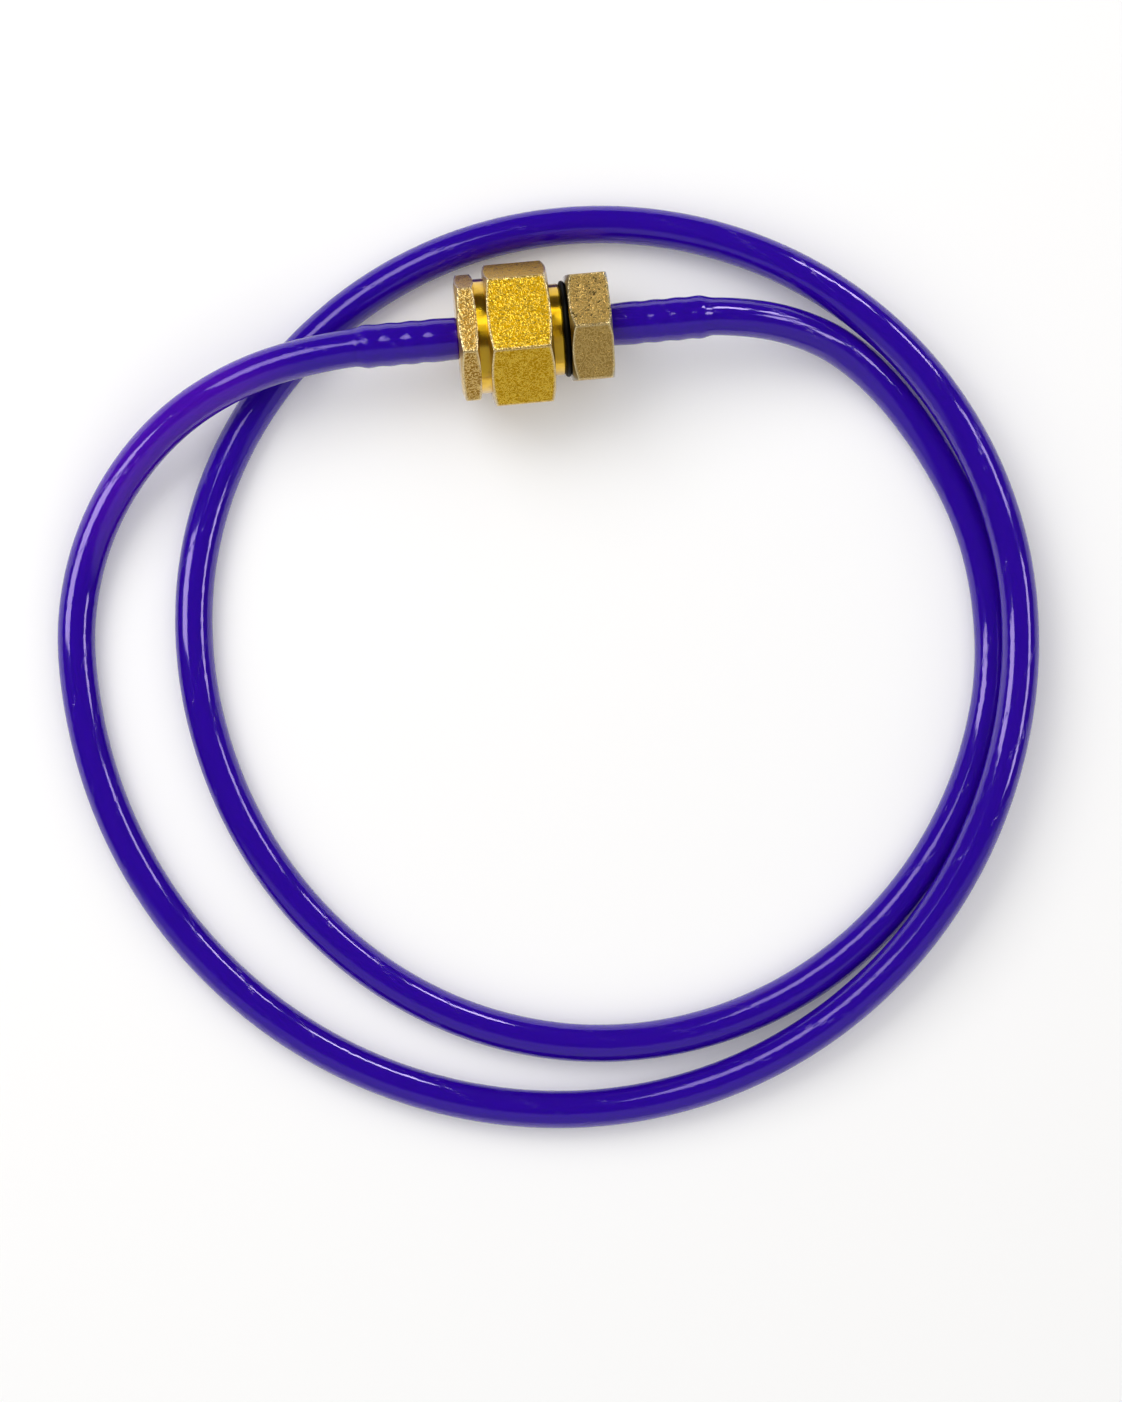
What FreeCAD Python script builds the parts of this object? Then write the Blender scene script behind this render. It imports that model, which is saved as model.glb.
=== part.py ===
import FreeCAD, Part
import math
import os

# A short coil of polyurethane air tube whose two ends are joined by one brass union.
# Millimetres. The union's axis is the X axis, raised off the floor at Z = 0, and
# the origin is on the floor below the middle of the union's brass and rubber pieces.
# The coil lies on the floor on the -Y side and its strand passes behind the union.

# Air tube
TUBE_DIAMETER = 8.0
TUBE_BORE = 5.0
FLOOR_FLAT = 0.5           # how deep the tube is pressed flat where it lies on the floor

# Hexagons of the union. The body is turned from 24 mm hexagonal bar and its thread to the same
# size, and with the walls below the nut takes a 27 mm spanner and the tail a 22 mm one.
BODY_HEX = 24.0
FLANGE_LENGTH = 4.1
NUT_WALL = 1.5             # brass between the thread and the nut's flats
NUT_LENGTH = 13.35
TAIL_HEX_STEP = 1.4        # from the neck out to the tail's flats
TAIL_HEX_LENGTH = 8.75
HEX_EDGE_ROUND = 0.35
NUT_TURN = 16.8            # degrees from straight up to a corner, about +X
FLANGE_TURN = 17.2
TAIL_TURN = 3.6
NUT_FLOOR_GAP = 0.3        # the coil carries the union this far off the floor

# Chamfers, each as the depth that it takes off the corners, and their slopes
NUT_CHAMFER = 2.3
TAIL_CHAMFER_LEFT = 1.9
TAIL_CHAMFER_RIGHT = 1.2
FLANGE_CHAMFER_LEFT = 2.5
NUT_CHAMFER_SLOPE = 18.0
TAIL_CHAMFER_SLOPE = 27.0
FLANGE_CHAMFER_SLOPE = 15.0
EDGE_BREAK = 0.3

# What shows between the hexagons
COLLAR_LENGTH = 2.05
NECK_LENGTH = 2.4
O_RING_SPACE = 1.35
O_RING_PROUD = 0.5         # how far the O-ring stands out past the neck
O_RING_HEIGHT = 1.55

# Union thread, drawn plain, with the pitch of M24 x 1.5
THREAD_PITCH = 1.5
RUNNING_CLEARANCE = 0.08
SEAT_CLEARANCE = 0.03

# Inside the nut, from the thread inwards and from the shoulder to the left
NUT_SHOULDER = 2.2
NUT_HOLE_CLEARANCE = 0.2
SLIP_RING_THICKNESS = 0.8
NIPPLE_COLLAR_PLAY = 1.0
NIPPLE_COLLAR_STEP = 1.4   # from the neck out to the collar that the nut pulls on
NIPPLE_COLLAR_THICKNESS = 2.0
FACE_SEAL_THICKNESS = 1.5
FACE_SEAL_WIDTH = 2.5
NECK_WALL = 1.6
SOCKET_LEDGE = 2.0
TAIL_THREAD_LENGTH = 5.7
SPIGOT_WALL = 3.5
TAIL_CHAMBER_DEPTH = 4.5

# Barbs for the tube, sized from its bore
BARB_FIRST_CREST = 5.0
BARB_CRESTS = 4
BARB_PITCH = 4.65
BARB_TIP_LENGTH = 1.55
BARB_BITE = 0.8            # how far a crest stretches the bore
BARB_ROOT_STRETCH = 0.1
BARB_TIP_CLEARANCE = 0.05
BARB_WALL = 0.75
STRETCH_CLEARANCE = 0.05
STRETCH_HOLLOW = 0.22      # how far the tube sinks between two crests
STRETCH_PAST_TIP = 1.5     # how far past the barb's tip the tube is back at its own size

# Non-return valve in the stub, from the seat outwards
VALVE_WALL = 2.2           # brass left between the flange's outer face and the chamber
SEAT_FLARE = 0.8
SEAT_LIP_WIDTH = 1.2
SEAT_LIP_HEIGHT = 0.5
SEAL_PAST_LIP = 0.65
SEAL_POCKET_WALL = 1.4
FLOW_GAP = 1.75            # round the poppet's head
GUIDE_LEDGE = 1.0
RING_GROOVE_DEPTH = 0.5
POPPET_THICKNESS = 1.6
POPPET_SEAL_THICKNESS = 1.2
POPPET_SEAL_PROUD = 0.3
POPPET_LIFT = 2.0
LIFT_STOP_GAP = 0.05
STEM_DIAMETER = 3.0
STEM_PAST_GUIDE = 0.7
STEM_CLEARANCE = 0.06
GUIDE_THICKNESS = 1.2
GUIDE_RIM_WIDTH = 1.5
GUIDE_HUB_WALL = 1.19
GUIDE_SPOKES = 3
GUIDE_SPOKE_WIDTH = 2.4
RING_THICKNESS = 1.0
RING_WIDTH = 1.5
RING_GAP = 5.0
RING_EAR_DIAMETER = 2.8
RING_EAR_HOLE = 1.1
RING_EAR_SET_IN = 0.2      # from the ring's outside to the ear's
RING_SIDE_PLAY = 0.05
MOUTH_WALL = 0.5           # brass left between the ring's groove and the stub's end
SPRING_WIRE = 0.6
SPRING_ROUND_HUB = 0.8     # room between the guide's hub and the spring
SPRING_TURNS = 4
SPRING_SEAT_GAP = 0.05
SPRING_SEAT_MARGIN = 0.4

# Coil of tube. Each station is the angle round the coil in degrees, the radius there, how
# much that radius grows in one radian of travel, and the height of the tube's middle above
# where it lies on the floor. The tube runs clockwise, so the angles fall.
COIL_CENTRE_X = 4.9
COIL_CENTRE_Y = -69.5
LEAD_STATION = (30.0, 87.0, 5.5, 0.0)
FIRST_STATION_ANGLE = -5.0
QUARTER_TURN = 90.0
QUARTER_STATIONS = (
    (87.5, -5.5, 0.0),
    (81.5, -3.5, 0.0),
    (82.5, 9.0, 0.0),
    (92.6, 3.5, 0.0),
    (92.0, -5.0, 8.8),
    (95.4, 4.5, 0.0),
    (107.5, 7.0, 0.0),
)
GAP_STEP = 1.0             # spacing of the points that the tube's gap to itself is measured on
GAP_SKIP = 30.0            # along the tube, how far apart two such points at least lie

# Shapes
FULL_TURN = 360.0
HEX_SIDES = 6
THREAD_DEPTH_PER_PITCH = 0.613   # of an outside thread with 60 degree flanks
CUT_MARGIN = 1.0           # how far a cutting shape passes the piece that it cuts

# Diameters of the union, from the bar inwards
THREAD_DIAMETER = BODY_HEX
THREAD_CHAMFER = THREAD_DEPTH_PER_PITCH * THREAD_PITCH
NUT_HEX = THREAD_DIAMETER + 2 * NUT_WALL
NIPPLE_COLLAR_DIAMETER = THREAD_DIAMETER - 2 * NIPPLE_COLLAR_PLAY
NECK_DIAMETER = NIPPLE_COLLAR_DIAMETER - 2 * NIPPLE_COLLAR_STEP
TAIL_HEX = NECK_DIAMETER + 2 * TAIL_HEX_STEP
O_RING_OUTSIDE = NECK_DIAMETER + 2 * O_RING_PROUD
O_RING_INSIDE = O_RING_OUTSIDE - 2 * O_RING_HEIGHT
TAIL_THREAD_DIAMETER = NECK_DIAMETER - 2 * NECK_WALL
NIPPLE_BORE = TAIL_THREAD_DIAMETER - 2 * SOCKET_LEDGE
TAIL_CHAMBER_BORE = TAIL_THREAD_DIAMETER - 2 * SPIGOT_WALL

# Diameters of the barbs and the valve, from the tube's bore outwards
BARB_CREST_DIAMETER = TUBE_BORE + 2 * BARB_BITE
BARB_ROOT_DIAMETER = TUBE_BORE + 2 * BARB_ROOT_STRETCH
BARB_TIP_DIAMETER = TUBE_BORE - 2 * BARB_TIP_CLEARANCE
BARB_BORE = BARB_TIP_DIAMETER - 2 * BARB_WALL
SEAT_BORE = BARB_BORE + 2 * SEAT_FLARE
SEAT_LIP_DIAMETER = SEAT_BORE + 2 * SEAT_LIP_WIDTH
POPPET_SEAL_DIAMETER = SEAT_LIP_DIAMETER + 2 * SEAL_PAST_LIP
POPPET_DIAMETER = POPPET_SEAL_DIAMETER + 2 * SEAL_POCKET_WALL
VALVE_CHAMBER = POPPET_DIAMETER + 2 * FLOW_GAP
GUIDE_DIAMETER = VALVE_CHAMBER + 2 * GUIDE_LEDGE
RING_GROOVE_DIAMETER = GUIDE_DIAMETER + 2 * RING_GROOVE_DEPTH
STEM_HOLE = STEM_DIAMETER + 2 * STEM_CLEARANCE
GUIDE_HUB_DIAMETER = STEM_HOLE + 2 * GUIDE_HUB_WALL
SPRING_OUTSIDE = GUIDE_HUB_DIAMETER + 2 * (SPRING_ROUND_HUB + SPRING_WIRE)
GUIDE_WEB_DIAMETER = SPRING_OUTSIDE + 2 * SPRING_SEAT_MARGIN

# Places along the axis, from the left face of the flange to the right face of the tail
STACK = (FLANGE_LENGTH + COLLAR_LENGTH + NUT_LENGTH + NECK_LENGTH + O_RING_SPACE
         + TAIL_HEX_LENGTH)
FLANGE_LEFT = -STACK / 2
FLANGE_RIGHT = FLANGE_LEFT + FLANGE_LENGTH
NUT_LEFT = FLANGE_RIGHT + COLLAR_LENGTH
NUT_RIGHT = NUT_LEFT + NUT_LENGTH
NECK_END = NUT_RIGHT + NECK_LENGTH
TAIL_LEFT = NECK_END + O_RING_SPACE
TAIL_RIGHT = TAIL_LEFT + TAIL_HEX_LENGTH
SHOULDER = NUT_RIGHT - NUT_SHOULDER
SLIP_RING_LEFT = SHOULDER - SLIP_RING_THICKNESS
NIPPLE_LEFT = SLIP_RING_LEFT - NIPPLE_COLLAR_THICKNESS
STUB_END = NIPPLE_LEFT - FACE_SEAL_THICKNESS
CHAMBER_FLOOR = FLANGE_LEFT + VALVE_WALL
SEAT_LIP = CHAMBER_FLOOR + SEAT_LIP_HEIGHT
POPPET_LEFT = SEAT_LIP + POPPET_SEAL_PROUD
POPPET_RIGHT = POPPET_LEFT + POPPET_THICKNESS
RING_GROOVE_WIDTH = RING_THICKNESS + 2 * RING_SIDE_PLAY
GROOVE_RIGHT = STUB_END - MOUTH_WALL
GROOVE_LEFT = GROOVE_RIGHT - RING_GROOVE_WIDTH
GUIDE_LEFT = GROOVE_LEFT - GUIDE_THICKNESS
HUB_LEFT = POPPET_RIGHT + POPPET_LIFT + LIFT_STOP_GAP
BARB_LENGTH = BARB_FIRST_CREST + (BARB_CRESTS - 1) * BARB_PITCH + BARB_TIP_LENGTH
BARB_TIP_LEFT = FLANGE_LEFT - BARB_LENGTH
BARB_TIP_RIGHT = TAIL_RIGHT + BARB_LENGTH
STRETCH_LENGTH = BARB_LENGTH + STRETCH_PAST_TIP
FREE_LEFT = FLANGE_LEFT - STRETCH_LENGTH
FREE_RIGHT = TAIL_RIGHT + STRETCH_LENGTH


def corner_radius(across_flats):
    """From the middle of a hexagon to its corners."""
    return across_flats / 2 / math.cos(math.pi / HEX_SIDES)


# Heights
AXIS_HEIGHT = NUT_FLOOR_GAP + corner_radius(NUT_HEX) * math.cos(math.radians(NUT_TURN))
LYING_HEIGHT = TUBE_DIAMETER / 2 - FLOOR_FLAT


def turned(outline):
    """A closed outline of (place along the axis, radius) points, turned about the axis."""
    points = [FreeCAD.Vector(x, 0, AXIS_HEIGHT + radius) for x, radius in outline]
    face = Part.Face(Part.makePolygon(points + points[:1]))
    return face.revolve(FreeCAD.Vector(0, 0, AXIS_HEIGHT), FreeCAD.Vector(1, 0, 0), FULL_TURN)


def disc(left, right, diameter):
    """A plain cylinder on the axis."""
    base = FreeCAD.Vector(left, 0, AXIS_HEIGHT)
    return Part.makeCylinder(diameter / 2, right - left, base, FreeCAD.Vector(1, 0, 0))


def tube_of(left, right, outside, inside):
    """A ring or sleeve on the axis."""
    return disc(left, right, outside).cut(disc(left, right, inside))


def hexagon(across_flats, left, right, turn):
    """A hexagonal bar on the axis with rounded corners, one corner turned from straight up."""
    radius = corner_radius(across_flats)
    corners = []
    for corner in range(HEX_SIDES):
        angle = math.radians(turn + corner * FULL_TURN / HEX_SIDES)
        corners.append(FreeCAD.Vector(left, -radius * math.sin(angle),
                                      AXIS_HEIGHT + radius * math.cos(angle)))
    face = Part.Face(Part.makePolygon(corners + corners[:1]))
    bar = face.extrude(FreeCAD.Vector(right - left, 0, 0))
    length = right - left
    long_edges = [edge for edge in bar.Edges
                  if abs(edge.Vertexes[1].X - edge.Vertexes[0].X) > length / 2]
    return bar.makeFillet(HEX_EDGE_ROUND, long_edges)


def chamfered_hexagon(across_flats, left, right, turn, chamfer_left, chamfer_right, slope):
    """A hexagonal bar whose corners are turned down to a cone at both ends."""
    corner = corner_radius(across_flats)
    rise = math.tan(math.radians(slope))
    outline = [
        (left, 0.0),
        (left, corner - chamfer_left),
        (left + (chamfer_left + CUT_MARGIN) * rise, corner + CUT_MARGIN),
        (right - (chamfer_right + CUT_MARGIN) * rise, corner + CUT_MARGIN),
        (right, corner - chamfer_right),
        (right, 0.0),
    ]
    # As splines, because the hyperbolas that exact cones leave on the flats run off to infinity
    cones = turned(outline).toNurbs()
    return hexagon(across_flats, left, right, turn).common(cones)


def barb(face, direction):
    """A hose barb that grows from a face; direction is -1 to the left and 1 to the right."""
    outline = [(face, 0.0), (face, BARB_ROOT_DIAMETER / 2)]
    for number in range(BARB_CRESTS):
        place = face + direction * (BARB_FIRST_CREST + number * BARB_PITCH)
        outline.append((place, BARB_ROOT_DIAMETER / 2))
        outline.append((place, BARB_CREST_DIAMETER / 2))
    tip = face + direction * BARB_LENGTH
    outline.append((tip, BARB_TIP_DIAMETER / 2))
    outline.append((tip, 0.0))
    return turned(outline)


def make_barbed_body():
    """Left half of the union: barb, thin hexagon, collar and stub, bored for the valve."""
    radius = THREAD_DIAMETER / 2
    flange = chamfered_hexagon(BODY_HEX, FLANGE_LEFT, FLANGE_RIGHT, FLANGE_TURN,
                               FLANGE_CHAMFER_LEFT, corner_radius(BODY_HEX) - radius,
                               FLANGE_CHAMFER_SLOPE)
    stub = turned([
        (FLANGE_RIGHT - EDGE_BREAK, 0.0),
        (FLANGE_RIGHT - EDGE_BREAK, radius),
        (STUB_END - THREAD_CHAMFER, radius),
        (STUB_END, radius - THREAD_CHAMFER),
        (STUB_END, 0.0),
    ])
    body = barb(FLANGE_LEFT, -1).fuse([flange, stub])
    lip = SEAT_LIP_DIAMETER / 2
    chamber = turned([
        (CHAMBER_FLOOR, lip),
        (CHAMBER_FLOOR, VALVE_CHAMBER / 2),
        (GUIDE_LEFT, VALVE_CHAMBER / 2),
        (GUIDE_LEFT, GUIDE_DIAMETER / 2),
        (GROOVE_LEFT, GUIDE_DIAMETER / 2),
        (GROOVE_LEFT, RING_GROOVE_DIAMETER / 2),
        (GROOVE_RIGHT, RING_GROOVE_DIAMETER / 2),
        (GROOVE_RIGHT, GUIDE_DIAMETER / 2),
        (STUB_END, GUIDE_DIAMETER / 2),
        (STUB_END, 0.0),
        (SEAT_LIP, 0.0),
        (SEAT_LIP, lip),
    ])
    bore = disc(BARB_TIP_LEFT, SEAT_LIP, BARB_BORE)
    flare = turned([
        (SEAT_LIP - SEAT_BORE / 2, 0.0),
        (SEAT_LIP - SEAT_BORE / 2, BARB_BORE / 2),
        (SEAT_LIP, SEAT_BORE / 2),
        (SEAT_LIP, 0.0),
    ])
    return body.cut([chamber, bore, flare])


def make_union_nut():
    """The big hexagon, with its thread drawn plain and a shoulder at its right end."""
    nut = chamfered_hexagon(NUT_HEX, NUT_LEFT, NUT_RIGHT, NUT_TURN,
                            NUT_CHAMFER, NUT_CHAMFER, NUT_CHAMFER_SLOPE)
    thread = THREAD_DIAMETER / 2 + RUNNING_CLEARANCE
    hole = NECK_DIAMETER / 2 + NUT_HOLE_CLEARANCE
    return nut.cut(turned([
        (NUT_LEFT, 0.0),
        (NUT_LEFT, thread + EDGE_BREAK),
        (NUT_LEFT + EDGE_BREAK, thread),
        (SHOULDER, thread),
        (SHOULDER, hole),
        (NUT_RIGHT - EDGE_BREAK, hole),
        (NUT_RIGHT, hole + EDGE_BREAK),
        (NUT_RIGHT, 0.0),
    ]))


def make_swivel_nipple():
    """The smooth neck, with the collar that the nut pulls on and a threaded socket."""
    neck = NECK_DIAMETER / 2
    socket_floor = NECK_END - TAIL_THREAD_LENGTH
    return turned([
        (NIPPLE_LEFT, NIPPLE_BORE / 2),
        (NIPPLE_LEFT, NIPPLE_COLLAR_DIAMETER / 2),
        (SLIP_RING_LEFT, NIPPLE_COLLAR_DIAMETER / 2),
        (SLIP_RING_LEFT, neck),
        (NECK_END - EDGE_BREAK, neck),
        (NECK_END, neck - EDGE_BREAK),
        (NECK_END, TAIL_THREAD_DIAMETER / 2),
        (socket_floor, TAIL_THREAD_DIAMETER / 2),
        (socket_floor, NIPPLE_BORE / 2),
    ])


def make_hose_tail():
    """The right hexagon, its barb, the land inside the O-ring and the spigot."""
    hexagon_part = chamfered_hexagon(TAIL_HEX, TAIL_LEFT, TAIL_RIGHT, TAIL_TURN,
                                     TAIL_CHAMFER_LEFT, TAIL_CHAMFER_RIGHT,
                                     TAIL_CHAMFER_SLOPE)
    spigot = TAIL_THREAD_DIAMETER / 2 - SEAT_CLEARANCE
    spigot_end = NECK_END - TAIL_THREAD_LENGTH + SEAT_CLEARANCE
    land = O_RING_INSIDE / 2 - SEAT_CLEARANCE
    shank = turned([
        (spigot_end, 0.0),
        (spigot_end, spigot - EDGE_BREAK),
        (spigot_end + EDGE_BREAK, spigot),
        (NECK_END + SEAT_CLEARANCE, spigot),
        (NECK_END + SEAT_CLEARANCE, land),
        (TAIL_LEFT + EDGE_BREAK, land),
        (TAIL_LEFT + EDGE_BREAK, 0.0),
    ])
    chamber = disc(spigot_end, spigot_end + TAIL_CHAMBER_DEPTH, TAIL_CHAMBER_BORE)
    bore = disc(spigot_end, BARB_TIP_RIGHT, BARB_BORE)
    return barb(TAIL_RIGHT, 1).fuse([hexagon_part, shank]).cut([chamber, bore])


def make_tail_o_ring():
    """The black ring between neck and hexagon, squeezed a little out of round."""
    half_width = O_RING_SPACE / 2 - SEAT_CLEARANCE
    half_height = (O_RING_OUTSIDE - O_RING_INSIDE) / 4
    middle = (O_RING_OUTSIDE + O_RING_INSIDE) / 4
    centre = FreeCAD.Vector((NECK_END + TAIL_LEFT) / 2, 0, AXIS_HEIGHT + middle)
    wide = centre + FreeCAD.Vector(half_width, 0, 0)
    high = centre + FreeCAD.Vector(0, 0, half_height)
    longer, shorter = (high, wide) if half_height > half_width else (wide, high)
    section = Part.Wire(Part.Ellipse(longer, shorter, centre).toShape())
    return Part.Face(section).revolve(FreeCAD.Vector(0, 0, AXIS_HEIGHT),
                                      FreeCAD.Vector(1, 0, 0), FULL_TURN)


def make_face_seal():
    """Flat ring between the stub's end and the nipple's collar."""
    inside = NIPPLE_COLLAR_DIAMETER - 2 * FACE_SEAL_WIDTH
    return tube_of(STUB_END, NIPPLE_LEFT, NIPPLE_COLLAR_DIAMETER, inside)


def make_slip_ring():
    """Thin ring that lets the nut turn on the nipple's collar."""
    inside = NECK_DIAMETER + 2 * NUT_HOLE_CLEARANCE
    return tube_of(SLIP_RING_LEFT, SHOULDER, NIPPLE_COLLAR_DIAMETER, inside)


def make_valve_poppet():
    """Head and stem of the non-return valve, with the pocket for its rubber disc."""
    pocket = POPPET_SEAL_DIAMETER / 2
    pocket_floor = POPPET_LEFT - POPPET_SEAL_PROUD + POPPET_SEAL_THICKNESS
    stem = STEM_DIAMETER / 2
    stem_end = GROOVE_LEFT + STEM_PAST_GUIDE
    head = POPPET_DIAMETER / 2
    return turned([
        (pocket_floor, 0.0),
        (pocket_floor, pocket),
        (POPPET_LEFT, pocket),
        (POPPET_LEFT, head - EDGE_BREAK),
        (POPPET_LEFT + EDGE_BREAK, head),
        (POPPET_RIGHT, head),
        (POPPET_RIGHT, stem),
        (stem_end - EDGE_BREAK, stem),
        (stem_end, stem - EDGE_BREAK),
        (stem_end, 0.0),
    ])


def make_poppet_seal():
    """Rubber disc in the poppet's face."""
    left = POPPET_LEFT - POPPET_SEAL_PROUD
    return disc(left, left + POPPET_SEAL_THICKNESS, POPPET_SEAL_DIAMETER - 2 * SEAT_CLEARANCE)


def make_valve_guide():
    """Spoked disc with a hub that the poppet's stem slides in."""
    rim_outside = GUIDE_DIAMETER - 2 * SEAT_CLEARANCE
    rim = tube_of(GUIDE_LEFT, GROOVE_LEFT, rim_outside, rim_outside - 2 * GUIDE_RIM_WIDTH)
    web = disc(GUIDE_LEFT, GROOVE_LEFT, GUIDE_WEB_DIAMETER)
    hub = disc(HUB_LEFT, GUIDE_LEFT, GUIDE_HUB_DIAMETER)
    spokes = []
    reach = (rim_outside - GUIDE_RIM_WIDTH) / 2
    for number in range(GUIDE_SPOKES):
        corner = FreeCAD.Vector(GUIDE_LEFT, -GUIDE_SPOKE_WIDTH / 2, AXIS_HEIGHT)
        spoke = Part.makeBox(GUIDE_THICKNESS, GUIDE_SPOKE_WIDTH, reach, corner)
        spoke.rotate(FreeCAD.Vector(0, 0, AXIS_HEIGHT), FreeCAD.Vector(1, 0, 0),
                     number * FULL_TURN / GUIDE_SPOKES)
        spokes.append(spoke)
    return rim.fuse([web, hub] + spokes).cut(disc(HUB_LEFT, GROOVE_LEFT, STEM_HOLE))


def make_retaining_ring():
    """Spring ring in the stub's groove, open at the top between two ears with plier holes."""
    left = GROOVE_LEFT + RING_SIDE_PLAY
    right = left + RING_THICKNESS
    outside = RING_GROOVE_DIAMETER - 2 * SEAT_CLEARANCE
    inside = outside - 2 * RING_WIDTH
    ring = tube_of(left, right, outside, inside)
    gap = Part.makeBox(RING_THICKNESS, RING_GAP, outside,
                       FreeCAD.Vector(left, -RING_GAP / 2, AXIS_HEIGHT))
    ring = ring.cut(gap)
    from_axis = (outside - RING_EAR_DIAMETER) / 2 - RING_EAR_SET_IN
    sideways = (RING_GAP + RING_EAR_DIAMETER) / 2
    upwards = math.sqrt(from_axis ** 2 - sideways ** 2)
    for side in (-1, 1):
        centre = FreeCAD.Vector(left, side * sideways, AXIS_HEIGHT + upwards)
        along = FreeCAD.Vector(1, 0, 0)
        ear = Part.makeCylinder(RING_EAR_DIAMETER / 2, RING_THICKNESS, centre, along)
        hole = Part.makeCylinder(RING_EAR_HOLE / 2, RING_THICKNESS, centre, along)
        ring = ring.fuse(ear).cut(hole)
    return ring


def biarc(start, start_way, end, end_way):
    """Two arcs that leave start along start_way and reach end along end_way."""
    span = end - start
    ways = start_way + end_way
    squared = ways.dot(ways) - 4.0
    middle = -2.0 * span.dot(ways)
    constant = span.dot(span)
    reach = (-middle - math.sqrt(middle * middle - 4 * squared * constant)) / (2 * squared)
    if reach < 0:
        reach = (-middle + math.sqrt(middle * middle - 4 * squared * constant)) / (2 * squared)
    first_corner = start + start_way * reach
    second_corner = end - end_way * reach
    joint = (first_corner + second_corner) * 0.5
    return (arc_between(start, first_corner, joint), arc_between(joint, second_corner, end))


def arc_between(start, corner, end):
    """The arc from start to end that is tangent to the two legs meeting at corner."""
    chord_middle = (start + end) * 0.5
    to_corner = corner - chord_middle
    half_chord = (end - start).Length / 2
    leg = (corner - start).Length
    sagitta = half_chord * (leg - half_chord) / to_corner.Length
    return Part.Arc(start, chord_middle + to_corner * (sagitta / to_corner.Length), end)


def arc_chain(places):
    """Biarcs through a list of (point, way) pairs, as a list of arcs."""
    arcs = []
    for (start, start_way), (end, end_way) in zip(places, places[1:]):
        arcs.extend(biarc(start, start_way, end, end_way))
    return arcs


def pipe(arcs, diameter):
    """A round bar along a chain of arcs."""
    spine = Part.Wire([arc.toShape() for arc in arcs])
    first = arcs[0]
    start = first.value(first.FirstParameter)
    way = first.tangent(first.FirstParameter)[0]
    section = Part.Wire(Part.Circle(start, way, diameter / 2).toShape())
    shell = Part.BRepOffsetAPI.MakePipeShell(spine)
    shell.add(section)
    shell.build()
    shell.makeSolid()
    return shell.shape()


def make_valve_spring():
    """Wire spring between the poppet's head and the guide, wound by half turns."""
    start = POPPET_RIGHT + SPRING_WIRE / 2 + SPRING_SEAT_GAP
    end = GUIDE_LEFT - SPRING_WIRE / 2 - SPRING_SEAT_GAP
    radius = (SPRING_OUTSIDE - SPRING_WIRE) / 2
    rise = (end - start) / (SPRING_TURNS * math.tau)
    places = []
    for half in range(2 * SPRING_TURNS + 1):
        angle = half * math.pi
        point = FreeCAD.Vector(start + rise * angle, radius * math.cos(angle),
                               AXIS_HEIGHT + radius * math.sin(angle))
        way = FreeCAD.Vector(rise, -radius * math.sin(angle), radius * math.cos(angle))
        places.append((point, way.normalize()))
    return pipe(arc_chain(places), SPRING_WIRE)


def coil_station(angle_degrees, radius, growth, lift):
    """A point of the coil and the way the tube runs there, clockwise seen from above."""
    angle = math.radians(angle_degrees)
    outwards = FreeCAD.Vector(math.cos(angle), math.sin(angle), 0)
    clockwise = FreeCAD.Vector(math.sin(angle), -math.cos(angle), 0)
    point = FreeCAD.Vector(COIL_CENTRE_X, COIL_CENTRE_Y, LYING_HEIGHT + lift)
    return point + outwards * radius, (clockwise * radius + outwards * growth).normalize()


def route_arcs():
    """The middle line of the free tube, from past the right barb round to the left one."""
    along = FreeCAD.Vector(1, 0, 0)
    places = [(FreeCAD.Vector(FREE_RIGHT, 0, AXIS_HEIGHT), along)]
    places.append(coil_station(*LEAD_STATION))
    for quarter, (radius, growth, lift) in enumerate(QUARTER_STATIONS):
        angle = FIRST_STATION_ANGLE - quarter * QUARTER_TURN
        places.append(coil_station(angle, radius, growth, lift))
    places.append((FreeCAD.Vector(FREE_LEFT, 0, AXIS_HEIGHT), along))
    return arc_chain(places)


def stretched_radii():
    """Distance from the hexagon and inside radius of the tube where it goes over the barb."""
    crest = BARB_CREST_DIAMETER / 2 + STRETCH_CLEARANCE
    hollow = crest - STRETCH_HOLLOW
    radii = [(0.0, hollow)]
    for number in range(BARB_CRESTS):
        place = BARB_FIRST_CREST + number * BARB_PITCH
        if number:
            radii.append((place - BARB_PITCH / 2, hollow))
        radii.append((place, crest))
    radii.append((STRETCH_LENGTH, TUBE_BORE / 2))
    return radii


def sleeve(face, direction):
    """One end of the tube, stretched over its barb; its wall keeps the same area of section."""
    wall = (TUBE_DIAMETER / 2) ** 2 - (TUBE_BORE / 2) ** 2
    inner = [(face + direction * place, radius) for place, radius in stretched_radii()]
    outer = [(x, math.sqrt(radius ** 2 + wall)) for x, radius in inner]
    ends = (FreeCAD.Vector(direction, 0, 0), FreeCAD.Vector(direction, 0, 0))
    curves = []
    for profile in (inner, outer):
        points = [FreeCAD.Vector(x, 0, AXIS_HEIGHT + radius) for x, radius in profile]
        curve = Part.BSplineCurve()
        curve.interpolate(Points=points, InitialTangent=ends[0], FinalTangent=ends[1])
        curves.append(curve.toShape())
    closing = []
    for end in (0, -1):
        low = FreeCAD.Vector(inner[end][0], 0, AXIS_HEIGHT + inner[end][1])
        high = FreeCAD.Vector(outer[end][0], 0, AXIS_HEIGHT + outer[end][1])
        closing.append(Part.makeLine(low, high))
    face_of_wall = Part.Face(Part.Wire([curves[0], closing[1], curves[1], closing[0]]))
    axis_point = FreeCAD.Vector(0, 0, AXIS_HEIGHT)
    return face_of_wall.revolve(axis_point, FreeCAD.Vector(1, 0, 0), FULL_TURN)


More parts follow.
